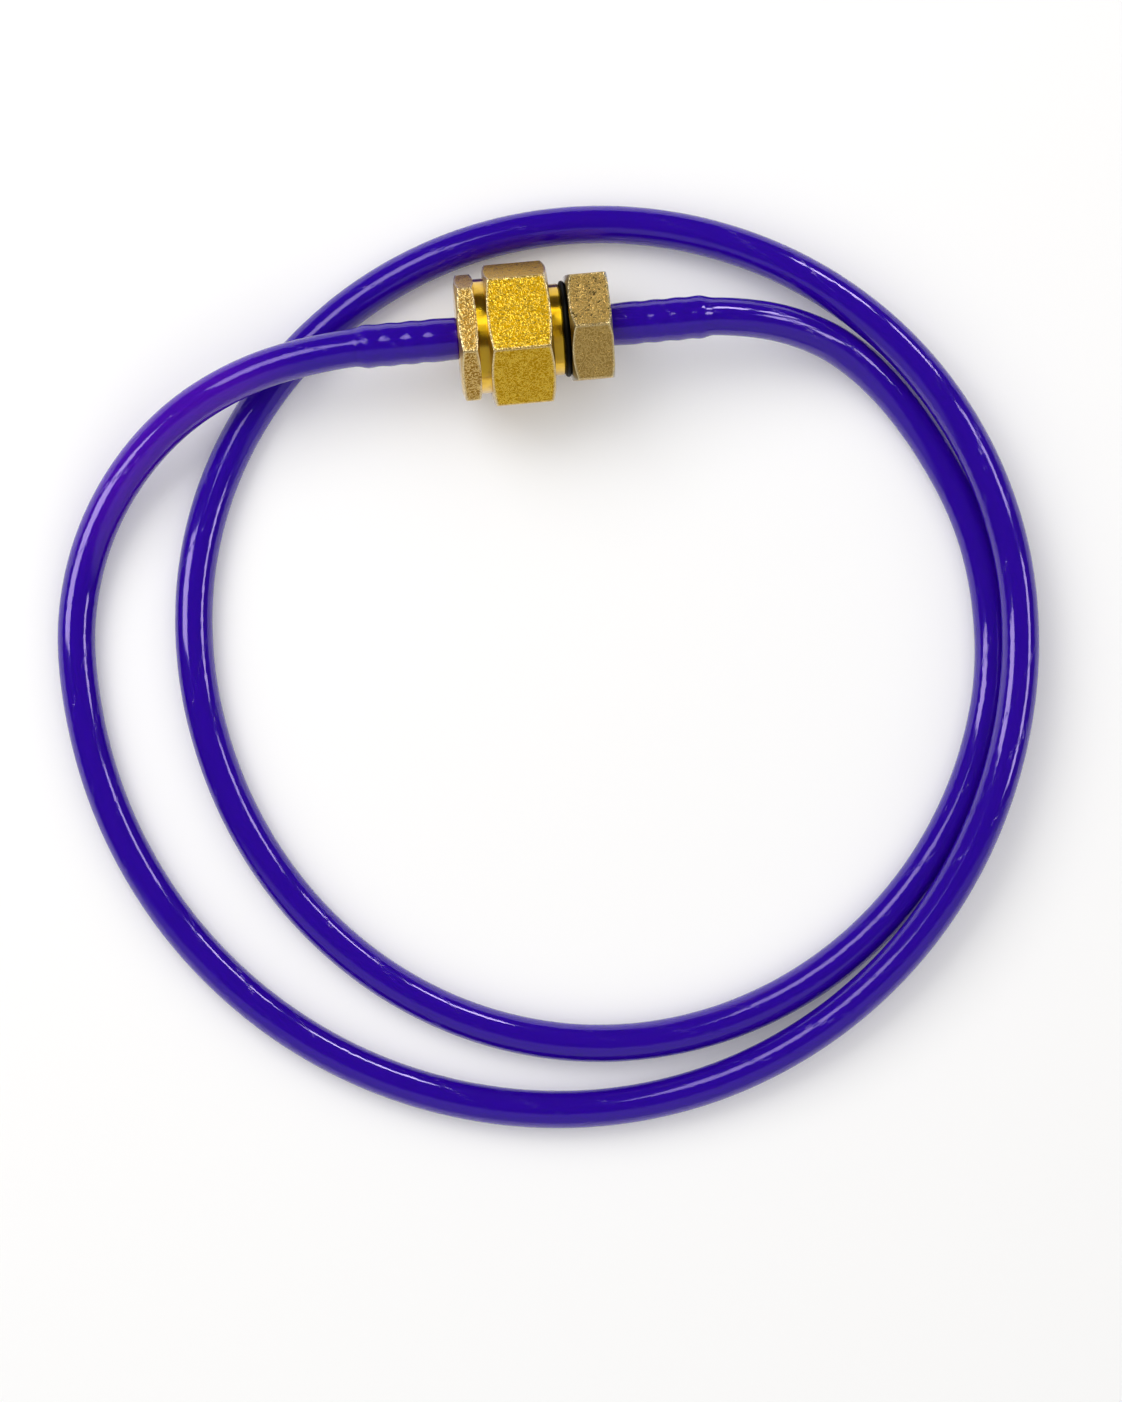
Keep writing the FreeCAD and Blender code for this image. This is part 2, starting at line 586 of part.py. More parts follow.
def points_along(arcs):
    """Points at even steps along a chain of arcs, each with its distance from the start."""
    points = []
    travelled = 0.0
    for arc in arcs:
        edge = arc.toShape()
        steps = max(2, round(edge.Length / GAP_STEP))
        for number, point in enumerate(edge.discretize(Number=steps + 1)[:-1]):
            points.append((travelled + edge.Length * number / steps, tuple(point)))
        travelled += edge.Length
    return points


def least_gap(arcs, diameter):
    """The smallest gap between parts of a tube that lie well apart along its length."""
    points = points_along(arcs)
    nearest = min(math.dist(point, other)
                  for index, (place, point) in enumerate(points)
                  for other_place, other in points[index + 1:]
                  if other_place - place > GAP_SKIP)
    return nearest - diameter


def print_route(arcs):
    """Prints the bend radii, the lengths and the least gap of the tube to itself."""
    edges = [arc.toShape() for arc in arcs]
    print("bend radii, mm:", ", ".join(f"{edge.Curve.Radius:.1f}" for edge in edges))
    free = sum(edge.Length for edge in edges)
    print(f"free tube {free:.1f} mm, with both stretched ends {free + 2 * STRETCH_LENGTH:.1f} mm")
    print(f"least gap of the tube to itself {least_gap(arcs, TUBE_DIAMETER):.2f} mm")


def make_hose():
    """The whole tube: free coil, stretched ends, real bore and flat underside."""
    arcs = route_arcs()
    print_route(arcs)
    coil = pipe(arcs, TUBE_DIAMETER).cut(pipe(arcs, TUBE_BORE))
    section = math.pi * (TUBE_DIAMETER ** 2 - TUBE_BORE ** 2) / 4
    length = sum(arc.toShape().Length for arc in arcs)
    print(f"coil {coil.Volume:.0f} mm3, section times length {section * length:.0f} mm3")
    tube = coil.fuse([sleeve(TAIL_RIGHT, 1), sleeve(FLANGE_LEFT, -1)])
    box = tube.BoundBox
    corner = FreeCAD.Vector(box.XMin - CUT_MARGIN, box.YMin - CUT_MARGIN, -TUBE_DIAMETER)
    floor = Part.makeBox(box.XLength + 2 * CUT_MARGIN, box.YLength + 2 * CUT_MARGIN,
                         TUBE_DIAMETER, corner)
    return tube.cut(floor)


PIECES = {
    "hose": make_hose,
    "barbed_body": make_barbed_body,
    "union_nut": make_union_nut,
    "swivel_nipple": make_swivel_nipple,
    "hose_tail": make_hose_tail,
    "tail_o_ring": make_tail_o_ring,
    "face_seal": make_face_seal,
    "slip_ring": make_slip_ring,
    "valve_poppet": make_valve_poppet,
    "poppet_seal": make_poppet_seal,
    "valve_spring": make_valve_spring,
    "valve_guide": make_valve_guide,
    "retaining_ring": make_retaining_ring,
}

os.makedirs("parts", exist_ok=True)
for name, make in PIECES.items():
    shape = make()
    solids = shape.Solids
    if len(solids) == 1:
        shape = solids[0]
    print(f"{name}: {len(solids)} solid, valid {shape.isValid()}, {shape.Volume:.1f} mm3, "
          f"{len(shape.Faces)} faces")
    shape.exportStep(os.path.join("parts", name + ".step"))
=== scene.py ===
# %% [markdown]
# A short coil of violet polyurethane air tube lies on a white table, and both its ends are pushed over
# the barbs of one brass union. The frame brings every piece at its real size and place. This script
# gives the pieces their finishes, winds the tube again as a smooth hose, and lights the whole as a small
# thing on a table near a few soft lamps.

# %% Load the frame
import math
import bpy
from mathutils import Euler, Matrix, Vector


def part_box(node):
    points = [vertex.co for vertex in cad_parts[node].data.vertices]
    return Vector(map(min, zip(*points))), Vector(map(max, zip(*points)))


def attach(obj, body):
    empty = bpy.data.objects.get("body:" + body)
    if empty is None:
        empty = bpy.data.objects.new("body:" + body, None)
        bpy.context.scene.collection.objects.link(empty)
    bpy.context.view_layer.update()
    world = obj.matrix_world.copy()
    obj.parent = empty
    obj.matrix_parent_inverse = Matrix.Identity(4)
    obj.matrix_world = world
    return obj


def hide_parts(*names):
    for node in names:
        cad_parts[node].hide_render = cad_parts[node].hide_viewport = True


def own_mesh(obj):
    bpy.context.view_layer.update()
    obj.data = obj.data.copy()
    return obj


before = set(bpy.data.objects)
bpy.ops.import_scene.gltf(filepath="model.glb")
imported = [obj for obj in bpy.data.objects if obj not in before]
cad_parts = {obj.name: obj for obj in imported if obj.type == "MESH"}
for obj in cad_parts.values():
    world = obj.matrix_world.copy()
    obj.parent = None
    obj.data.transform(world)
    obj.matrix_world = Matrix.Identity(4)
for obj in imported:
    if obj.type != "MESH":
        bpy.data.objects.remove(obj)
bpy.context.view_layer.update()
MM = 0.001
print("pieces in the frame:", ", ".join(sorted(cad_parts)))

# %% [markdown]
# A picture taken from above has no vanishing point to work from, so the camera is found from sizes
# instead: the tube is 8 mm thick, which gives the width of the view, and parts that stand higher look
# larger, which gives the distance of the camera. The whole was turned a little on the table. The camera
# also leans a little to the left, which shows in the round edges of the union: they bow to the right.

# %% Camera
CAMERA_AIM = Vector((-1.0, -77.7, 4.0)) * MM
CAMERA_DISTANCE = 850.0 * MM
VIEW_WIDTH = 238.5 * MM         # what the picture's width takes in at that distance
PICTURE_TURN = math.radians(5.3)
CAMERA_LEAN = math.radians(2.2)
SENSOR_WIDTH = 36.0

camera_data = bpy.data.cameras.new("camera")
camera_data.sensor_fit = "HORIZONTAL"
camera_data.sensor_width = SENSOR_WIDTH
camera_data.lens = SENSOR_WIDTH * CAMERA_DISTANCE / VIEW_WIDTH
camera = bpy.data.objects.new("camera", camera_data)
turned = Euler((0.0, -CAMERA_LEAN, -PICTURE_TURN))
backwards = turned.to_matrix() @ Vector((0.0, 0.0, 1.0))
camera.location = CAMERA_AIM + backwards * CAMERA_DISTANCE
camera.rotation_euler = turned
bpy.context.scene.collection.objects.link(camera)
bpy.context.scene.camera = camera
bpy.context.scene.view_settings.view_transform = "Standard"
print(f"lens {camera_data.lens:.1f} mm")

# %% [markdown]
# The tube is glossy, so it works as a curved mirror, and the bright lines along it say where the lamps
# stand: a wide one with a bright core at the upper left, a strip further left, and a row of windows on
# the right. The shadows are too soft for any of these. So these lamps are only mirrored, one large dim
# lamp at the upper left gives the shadows a side to fall to, and the room gives the rest. How bright a
# lamp looks is given here, where 1 looks as bright as white, and its power follows from that and its area.

# %% Lamps
COIL_MIDDLE = Vector((0.0, -70.0, 0.0)) * MM
LAMP_DISTANCE = 1100.0 * MM

# Name, direction seen from above and tilt from straight up in degrees, width and height in mm, brightness
MIRRORED_LAMPS = (
    ("key", 122.0, 33.5, 500.0, 450.0, 3.0),
    ("key_core", 122.0, 33.5, 440.0, 110.0, 16.0),
    ("left_strip", 168.0, 56.0, 280.0, 560.0, 6.0),
    ("right_window_back", 59.0, 55.0, 240.0, 180.0, 12.0),
    ("right_window_far", 40.0, 58.0, 220.0, 180.0, 9.0),
    ("right_window_near", 20.0, 46.0, 220.0, 260.0, 6.0),
    ("right_window_front", -8.0, 52.0, 440.0, 240.0, 6.5),
)
SOFT_LAMP = ("soft_light", 127.0, 41.0, 700.0, 700.0, 3.4)


def add_lamp(name, turn, tilt, width, height, brightness):
    """A rectangle of light that faces the coil; width lies level and height stands."""
    data = bpy.data.lights.new(name, "AREA")
    data.shape = "RECTANGLE"
    data.size = width * MM
    data.size_y = height * MM
    data.energy = brightness * math.pi * data.size * data.size_y
    lamp = bpy.data.objects.new(name, data)
    turn = math.radians(turn)
    tilt = math.radians(tilt)
    towards = Vector((math.sin(tilt) * math.cos(turn), math.sin(tilt) * math.sin(turn), math.cos(tilt)))
    lamp.location = COIL_MIDDLE + towards * LAMP_DISTANCE
    lamp.rotation_euler = towards.to_track_quat("Z", "Y").to_euler()
    bpy.context.scene.collection.objects.link(lamp)
    return lamp


for lamp_values in MIRRORED_LAMPS:
    add_lamp(*lamp_values).visible_diffuse = False
add_lamp(*SOFT_LAMP).visible_glossy = False
print(f"{len(MIRRORED_LAMPS)} lamps to be mirrored and one that gives light")

# %% [markdown]
# Every finish below is a small net of nodes. A few helpers keep that readable: the first turns the sRGB
# hex code of a colour into the linear numbers that Blender counts in, and the second adds a node with its
# settings and its links. The others tell the rays that see from those that gather light, and start a new
# material. A Mix node has a set of sockets for each kind of value, so its colours go by number.

# %% Colour and node helpers
MIX_FIRST = 6
MIX_SECOND = 7
MIX_RESULT = 2


def linear(hex_code):
    """Linear red, green, blue and alpha of an sRGB hex code such as #D9AF3B."""
    channels = []
    for start in (1, 3, 5):
        value = int(hex_code[start:start + 2], 16) / 255
        channels.append(value / 12.92 if value <= 0.04045 else ((value + 0.055) / 1.055) ** 2.4)
    return (*channels, 1.0)


def add(tree, kind, sockets=None, **settings):
    """Adds a node; a socket is given a value, or the output that is linked to it."""
    node = tree.nodes.new(kind)
    for setting, value in settings.items():
        setattr(node, setting, value)
    for socket, value in (sockets or {}).items():
        if isinstance(value, bpy.types.NodeSocket):
            tree.links.new(value, node.inputs[socket])
        else:
            node.inputs[socket].default_value = value
    return node


def rays_that_see(tree):
    """1 for a ray from the camera or from a mirror or through glass, 0 for one that gathers light."""
    rays = add(tree, "ShaderNodeLightPath").outputs
    seen = add(tree, "ShaderNodeMath", {0: rays["Is Camera Ray"], 1: rays["Is Glossy Ray"]},
               operation="MAXIMUM")
    return add(tree, "ShaderNodeMath", {0: seen.outputs[0], 1: rays["Is Transmission Ray"]},
               operation="MAXIMUM").outputs[0]


def new_material(name):
    """An empty material, its tree and its shader, linked to the output."""
    made = bpy.data.materials.new(name)
    made.use_nodes = True
    made.node_tree.nodes.clear()
    shader = add(made.node_tree, "ShaderNodeBsdfPrincipled")
    add(made.node_tree, "ShaderNodeOutputMaterial", {"Surface": shader.outputs[0]})
    return made, made.node_tree, shader


print("white paper reads", linear("#FFFFFF")[:3], "and middle grey", linear("#808080")[:3])

# %% [markdown]
# To a mirrored ray the room beyond the lamps is dark, which is what keeps the middle of the tube deep
# violet. Only on the side that is nearest in the picture stands something large and grey. The lower faces
# of the brass mirror it, and along the lower half of the tube it makes a band that starts with a sharp
# edge. The room's own shader tells by its direction where that is. To all other rays the room is a white
# light that comes mostly from overhead, so that the shadows stay close to the tube. Both come from one
# background, which the render must then not sample by itself.

# %% Room
ROOM_COLOUR = "#444444"
FRONT_COLOUR = "#B0B0B0"
FRONT_BEGINS = 0.36             # how far a direction points forwards, to -Y, where the grey begins
FRONT_FULL = 0.48               # and where it is full
HORIZON_COLOUR = "#707070"
OVERHEAD_COLOUR = "#FFFFFF"
HORIZON_ENDS = 0.2              # how far a direction points up where the light begins to grow
OVERHEAD_BEGINS = 0.7           # and where it is full

world = bpy.data.worlds.new("room")
world.use_nodes = True
world.cycles.sampling_method = "NONE"
tree = world.node_tree
direction = add(tree, "ShaderNodeTexCoord").outputs["Generated"]
axes = add(tree, "ShaderNodeSeparateXYZ", {0: direction}).outputs
forwards = add(tree, "ShaderNodeMath", {0: axes["Y"], 1: -1.0}, operation="MULTIPLY")
front = add(tree, "ShaderNodeMapRange",
            {"Value": forwards.outputs[0], "From Min": FRONT_BEGINS, "From Max": FRONT_FULL},
            interpolation_type="SMOOTHSTEP")
mirrored = add(tree, "ShaderNodeMix", {"Factor": front.outputs[0], MIX_FIRST: linear(ROOM_COLOUR),
                                       MIX_SECOND: linear(FRONT_COLOUR)}, data_type="RGBA")
overhead = add(tree, "ShaderNodeMapRange",
               {"Value": axes["Z"], "From Min": HORIZON_ENDS, "From Max": OVERHEAD_BEGINS},
               interpolation_type="SMOOTHSTEP")
gathered = add(tree, "ShaderNodeMix", {"Factor": overhead.outputs[0], MIX_FIRST: linear(HORIZON_COLOUR),
                                       MIX_SECOND: linear(OVERHEAD_COLOUR)}, data_type="RGBA")
room = add(tree, "ShaderNodeMix",
           {"Factor": rays_that_see(tree), MIX_FIRST: gathered.outputs[MIX_RESULT],
            MIX_SECOND: mirrored.outputs[MIX_RESULT]}, data_type="RGBA")
tree.links.new(room.outputs[MIX_RESULT], tree.nodes["Background"].inputs["Color"])
bpy.context.scene.world = world
print(f"the room's light takes {len(tree.nodes)} nodes")

# %% [markdown]
# The table is a plain white laminate. It is one large sheet, so that the tube and the brass mirror it out
# to where it would end, and that gives the sharp pale band along both sides of the tube. What looks at
# the table, the camera or a mirrored ray, also sees some plain white mixed in: a white sweep lit from all
# round has such light shadows, and the lamps need not be turned up for it.

# %% Table
TABLE_COLOUR = "#F4F3F2"
TABLE_HALF_SIZE = 3000.0 * MM
TABLE_OWN_WHITE = 0.1

laminate, tree, shader = new_material("White_laminate")
shader.inputs["Base Color"].default_value = linear(TABLE_COLOUR)
shader.inputs["Roughness"].default_value = 0.8
shader.inputs["Specular IOR Level"].default_value = 0.2
share = add(tree, "ShaderNodeMath", {0: rays_that_see(tree), 1: TABLE_OWN_WHITE}, operation="MULTIPLY")
white = add(tree, "ShaderNodeEmission", {"Color": linear("#FFFFFF"), "Strength": 1.0})
both = add(tree, "ShaderNodeMixShader", {0: share.outputs[0], 1: shader.outputs[0], 2: white.outputs[0]})
tree.links.new(both.outputs[0], tree.nodes["Material Output"].inputs["Surface"])
corners = [(x * TABLE_HALF_SIZE, y * TABLE_HALF_SIZE, 0.0)
           for x, y in ((-1, -1), (1, -1), (1, 1), (-1, 1))]
table_mesh = bpy.data.meshes.new("table")
table_mesh.from_pydata(corners, [], [(0, 1, 2, 3)])
table_mesh.materials.append(laminate)
table = bpy.data.objects.new("table", table_mesh)
bpy.context.scene.collection.objects.link(table)
print(f"the table is {2 * TABLE_HALF_SIZE:.0f} m wide")

# %% [markdown]
# The hose is one unbroken tube. Its line is settled first, because all else follows it. Round the coil
# it is given by a few stations, each an angle with the radius there and how fast the radius grows, and a
# smooth curve joins them. A point every 15 degrees pulls on a quadratic spline, which cuts inside its
# points, so they are set that much further out.

# %% Line of the coil
COIL_CENTRE = Vector((4.9, -69.5, 0.0)) * MM
LYING_HEIGHT = 3.5 * MM         # of the line, less than the tube's radius, because the tube lies flattened
UNION_AXIS_HEIGHT = 15.223 * MM
STEP_ANGLE = 15.0

# The spline passes a point at three quarters of that point and an eighth of each of its neighbours
INSIDE_CUT = 0.75 + 0.25 * math.cos(math.radians(STEP_ANGLE))

# Angle in degrees, radius in mm, growth of the radius in mm per radian of travel
STATIONS = (
    (30.0, 87.0, 5.5),
    (-5.0, 87.5, -5.5),
    (-95.0, 81.5, -3.5),
    (-185.0, 82.5, 9.0),
    (-275.0, 92.6, 3.5),
    (-365.0, 92.0, -5.0),
    (-455.0, 95.4, 4.5),
    (-545.0, 107.5, 7.0),
)

# Where the second turn climbs onto the outer shoulder of the first, and where it is down again
CLIMB_FROM = -275.0
CLIMB_TO = -325.0
SINK_FROM = -385.0
SINK_TO = -455.0
RIDE_HEIGHT = 6.8 * MM


def eased(share):
    """0 to 1 with a level start and a level end."""
    share = min(max(share, 0.0), 1.0)
    return share * share * (3 - 2 * share)


def coil_point(angle, radius):
    """A point that pulls on the coil's spline, at an angle in degrees and a radius in mm."""
    climbed = eased((angle - CLIMB_FROM) / (CLIMB_TO - CLIMB_FROM))
    sunk = eased((angle - SINK_FROM) / (SINK_TO - SINK_FROM))
    turn = math.radians(angle)
    outwards = Vector((math.cos(turn), math.sin(turn), 0.0))
    lift = Vector((0.0, 0.0, LYING_HEIGHT + RIDE_HEIGHT * (climbed - sunk)))
    return COIL_CENTRE + outwards * (radius * MM / INSIDE_CUT) + lift


def coil_points():
    """The points of both turns, station by station."""
    points = []
    for (start, radius, growth), (end, next_radius, next_growth) in zip(STATIONS, STATIONS[1:]):
        steps = round((start - end) / STEP_ANGLE)
        travel = math.radians(start - end)
        for step in range(steps):
            share = step / steps
            between = radius + (next_radius - radius) * eased(share)
            between += growth * travel * share * (1 - share) ** 2
            between -= next_growth * travel * share ** 2 * (1 - share)
            points.append(coil_point(start + (end - start) * share, between))
    points.append(coil_point(STATIONS[-1][0], STATIONS[-1][1]))
    return points


print(f"{len(coil_points())} points over {STATIONS[0][0] - STATIONS[-1][0]:.0f} degrees of the coil")

# %% [markdown]
# Between the coil and the union the hose hangs free, from the height of the union down to the table.
# These few points are listed. Near the union they lie on its axis, because the barbs hold the
# tube straight. On its way back the hose passes over its own first turn.

# %% Line of the two free ends
# Places in mm; the hose leaves the union at one of its end faces and comes back to the other
FLANGE_LEFT = -16.0
TAIL_RIGHT = 16.0
AXIS = UNION_AXIS_HEIGHT / MM
LINE_RESOLUTION = 12            # stretches of the smooth line for each of its points

FROM_THE_UNION = (
    (TAIL_RIGHT, 0.0, AXIS),
    (28.0, 0.0, AXIS),
    (40.0, 0.0, AXIS - 0.1),
    (54.5, -2.7, 11.4),
    (68.0, -9.8, 5.6),
)
BACK_TO_THE_UNION = (
    (-99.5, -40.5, 4.2),
    (-90.5, -24.0, 7.5),
    (-77.0, -11.0, 11.6),
    (-60.0, -3.0, 14.6),
    (-42.0, 0.0, AXIS),
    (-28.0, 0.0, AXIS),
    (FLANGE_LEFT, 0.0, AXIS),
)


def hose_spline(points):
    """A quadratic NURBS curve that starts and ends on its first and last point."""
    data = bpy.data.curves.new("hose_line", "CURVE")
    data.dimensions = "3D"
    data.resolution_u = LINE_RESOLUTION
    spline = data.splines.new("NURBS")
    spline.points.add(len(points) - 1)
    for point, place in zip(spline.points, points):
        point.co = (*place, 1.0)
    spline.order_u = 3
    spline.use_endpoint_u = True
    line = bpy.data.objects.new("hose_line", data)
    bpy.context.scene.collection.objects.link(line)
    return line


hose_line = hose_spline([Vector(place) * MM for place in FROM_THE_UNION] + coil_points()
                        + [Vector(place) * MM for place in BACK_TO_THE_UNION])
bpy.context.view_layer.update()
smooth_line = hose_line.evaluated_get(bpy.context.evaluated_depsgraph_get())
line_mesh = bpy.data.meshes.new_from_object(smooth_line)
hose_path = [vertex.co.copy() for vertex in line_mesh.vertices]
hose_length = sum((b - a).length for a, b in zip(hose_path, hose_path[1:]))
print(f"hose line {hose_length / MM:.1f} mm in {len(hose_path)} points")

# %% [markdown]
# The tube is 8 mm outside and 5 mm inside. Over the barbs it is stretched: its bore follows the four
# crests and sinks a little between them, and its wall thins so that it keeps its area. The wall's section
# is drawn here along a straight tube, out on the outside and back through the bore, with a small break
# on the cut edges.

# %% Section of the wall
TUBE_RADIUS = 4.0
BORE_RADIUS = 2.5
CREST_RADIUS = 3.35
HOLLOW_RADIUS = 3.13
FIRST_CREST = 5.0
CREST_COUNT = 4
CREST_PITCH = 4.65
STRETCH_LENGTH = 22.0
CUT_BREAK = 0.2
FINE_STEP = 0.45
COARSE_STEP = 1.6
WALL_SECTION = TUBE_RADIUS ** 2 - BORE_RADIUS ** 2


def bore_radius(place):
    """Inside radius at a distance in mm from the face that the tube's end is pushed against."""
    last_crest = FIRST_CREST + (CREST_COUNT - 1) * CREST_PITCH
    if place < FIRST_CREST:
        return HOLLOW_RADIUS + (CREST_RADIUS - HOLLOW_RADIUS) * eased(place / FIRST_CREST)
    if place < last_crest:
        wave = (1 + math.cos(math.tau * (place - FIRST_CREST) / CREST_PITCH)) / 2
        return HOLLOW_RADIUS + (CREST_RADIUS - HOLLOW_RADIUS) * wave
    share = (place - last_crest) / (STRETCH_LENGTH - last_crest)
    return CREST_RADIUS + (BORE_RADIUS - CREST_RADIUS) * eased(share)


def wall_section(length):
    """The outline of the wall as (distance along, radius) in mm, from one end out and back."""
    fine = math.ceil(STRETCH_LENGTH / FINE_STEP)
    coarse = math.ceil((length - 2 * STRETCH_LENGTH) / COARSE_STEP)
    ends = [STRETCH_LENGTH * n / fine for n in range(fine)]
    middle = [STRETCH_LENGTH + (length - 2 * STRETCH_LENGTH) * n / coarse for n in range(coarse + 1)]
    places = ends + middle + [length - place for place in reversed(ends)]
    bore = [(place, bore_radius(min(place, length - place))) for place in places]
    outside = [(place, math.sqrt(radius ** 2 + WALL_SECTION)) for place, radius in bore]
    outside[0] = (CUT_BREAK, outside[0][1])
    outside[-1] = (length - CUT_BREAK, outside[-1][1])
    rim = outside[0][1] - CUT_BREAK
    return [(0.0, rim)] + outside + [(length, rim)] + bore[::-1]


section = wall_section(hose_length / MM)
section_mesh = bpy.data.meshes.new("wall_section")
section_mesh.from_pydata([(place * MM, radius * MM, 0.0) for place, radius in section], [], [])
print(f"section of the wall: {len(section)} points")

# %% [markdown]
# Two pieces follow a rule, the hose and the spring in the union, and Geometry Nodes make both. A tree of
# them is a small program with named inputs. A modifier runs it on an object and is told each input by its
# identifier, because two inputs may share a name. The result is turned into a plain mesh at once, so that
# the finished piece needs no modifier.

# %% Helpers for pieces made by a tree
def add_input(tree, name, kind):
    """A named input of a node tree; its identifier is what a modifier sets it by."""
    return tree.interface.new_socket(name, in_out="INPUT", socket_type=kind).identifier


def made_by(tree, name, mesh, values):
    """A new object with the mesh that a tree makes of the one given, with these values as its inputs."""
    made = bpy.data.objects.new(name, mesh)
    bpy.context.scene.collection.objects.link(made)
    modifier = made.modifiers.new(tree.name, "NODES")
    modifier.node_group = tree
    for identifier, value in values.items():
        modifier[identifier] = value
    bpy.context.view_layer.update()
    evaluated = made.evaluated_get(bpy.context.evaluated_depsgraph_get())
    made.data = bpy.data.meshes.new_from_object(evaluated)
    made.modifiers.clear()
    triangles = sum(len(face.vertices) - 2 for face in made.data.polygons)
    print(f"{name}: {triangles} triangles")
    return made


# %% [markdown]
# The first tree bends the straight section round the line. Each row of a grid is one ring: it looks up
# its point of the section, travels that distance along the spline and stands round it at that radius.
# Pressing all points up to the height of the table gives the flat that the tube lies on. Merging closes
# the seam. Two numbers are kept on the surface for the finish: the distance along and the angle round.

# %% Tree that bends the tube round its line
UP = (0.0, 0.0, 1.0)
LOWEST_PLACE = (-10.0, -10.0, 0.0)      # the table is at 0; sideways there is room for all


def tube_tree():
    """The tree and the identifiers of its inputs."""
    tree = bpy.data.node_groups.new("tube_round_its_line", "GeometryNodeTree")
    names = {
        "section": add_input(tree, "Section", "NodeSocketGeometry"),
        "line": add_input(tree, "Line", "NodeSocketObject"),
        "sides": add_input(tree, "Sides", "NodeSocketInt"),
        "merge": add_input(tree, "Merge Distance", "NodeSocketFloat"),
        "material": add_input(tree, "Material", "NodeSocketMaterial"),
    }
    tree.interface.new_socket("Tube", in_out="OUTPUT", socket_type="NodeSocketGeometry")
    given = add(tree, "NodeGroupInput").outputs
    size = add(tree, "GeometryNodeAttributeDomainSize", {"Geometry": given["Section"]})
    rows = add(tree, "FunctionNodeIntegerMath", {0: size.outputs["Point Count"], 1: 1}, operation="ADD")
    columns = add(tree, "FunctionNodeIntegerMath", {0: given["Sides"], 1: 1}, operation="ADD")
    grid = add(tree, "GeometryNodeMeshGrid",
               {"Vertices X": rows.outputs[0], "Vertices Y": columns.outputs[0]})
    index = add(tree, "GeometryNodeInputIndex").outputs[0]
    row = add(tree, "FunctionNodeIntegerMath", {0: index, 1: columns.outputs[0]}, operation="DIVIDE_FLOOR")
    ring = add(tree, "FunctionNodeIntegerMath", {0: row.outputs[0], 1: size.outputs["Point Count"]},
               operation="MODULO")
    column = add(tree, "FunctionNodeIntegerMath", {0: index, 1: columns.outputs[0]}, operation="MODULO")
    position = add(tree, "GeometryNodeInputPosition").outputs[0]
    looked_up = add(tree, "GeometryNodeSampleIndex",
                    {"Geometry": given["Section"], "Value": position, "Index": ring.outputs[0]},
                    data_type="FLOAT_VECTOR")
    parts = add(tree, "ShaderNodeSeparateXYZ", {0: looked_up.outputs[0]}).outputs
    line = add(tree, "GeometryNodeObjectInfo", {"Object": given["Line"]}).outputs["Geometry"]
    on_line = add(tree, "GeometryNodeSampleCurve", {"Curves": line, "Length": parts["X"]}, mode="LENGTH",
                  use_all_curves=True).outputs
    sideways = add(tree, "ShaderNodeVectorMath", {0: on_line["Tangent"], 1: UP},
                   operation="CROSS_PRODUCT")
    side = add(tree, "ShaderNodeVectorMath", {0: sideways.outputs[0]}, operation="NORMALIZE")
    upwards = add(tree, "ShaderNodeVectorMath", {0: side.outputs[0], 1: on_line["Tangent"]},
                  operation="CROSS_PRODUCT")
    up = add(tree, "ShaderNodeVectorMath", {0: upwards.outputs[0]}, operation="NORMALIZE")
    share = add(tree, "ShaderNodeMath", {0: column.outputs[0], 1: given["Sides"]}, operation="DIVIDE")
    angle = add(tree, "ShaderNodeMath", {0: share.outputs[0], 1: math.tau}, operation="MULTIPLY")
    across = add(tree, "ShaderNodeMath", {0: angle.outputs[0]}, operation="SINE")
    above = add(tree, "ShaderNodeMath", {0: angle.outputs[0]}, operation="COSINE")
    spoke_across = add(tree, "ShaderNodeVectorMath", {0: side.outputs[0], "Scale": across.outputs[0]},
                       operation="SCALE")
    spoke_above = add(tree, "ShaderNodeVectorMath", {0: up.outputs[0], "Scale": above.outputs[0]},
                      operation="SCALE")
    spoke = add(tree, "ShaderNodeVectorMath", {0: spoke_across.outputs[0], 1: spoke_above.outputs[0]},
                operation="ADD")
    reach = add(tree, "ShaderNodeVectorMath", {0: spoke.outputs[0], "Scale": parts["Y"]},
                operation="SCALE")
    place = add(tree, "ShaderNodeVectorMath", {0: on_line["Position"], 1: reach.outputs[0]},
                operation="ADD")
    above_table = add(tree, "ShaderNodeVectorMath", {0: place.outputs[0], 1: LOWEST_PLACE},
                      operation="MAXIMUM")

    # At the seam the angle is both nothing and a whole turn, so it is kept on the corners of the faces
    named = grid.outputs["Mesh"]
    for name, domain, value in (("tube_along", "POINT", parts["X"]),
                                ("tube_angle", "CORNER", angle.outputs[0])):
        named = add(tree, "GeometryNodeStoreNamedAttribute",
                    {"Geometry": named, "Name": name, "Value": value},
                    data_type="FLOAT", domain=domain).outputs[0]
    bent = add(tree, "GeometryNodeSetPosition", {"Geometry": named, "Position": above_table.outputs[0]})
    merged = add(tree, "GeometryNodeMergeByDistance",
                 {"Geometry": bent.outputs[0], "Distance": given["Merge Distance"]})
    smooth = add(tree, "GeometryNodeSetShadeSmooth", {"Geometry": merged.outputs[0]})
    real = add(tree, "GeometryNodeRealizeInstances", {"Geometry": smooth.outputs[0]})
    finished = add(tree, "GeometryNodeSetMaterial",
                   {"Geometry": real.outputs[0], "Material": given["Material"]})
    add(tree, "NodeGroupOutput", {0: finished.outputs[0]})
    return tree, names


bend, bend_inputs = tube_tree()
print(f"{bend.name}: {len(bend.nodes)} nodes")
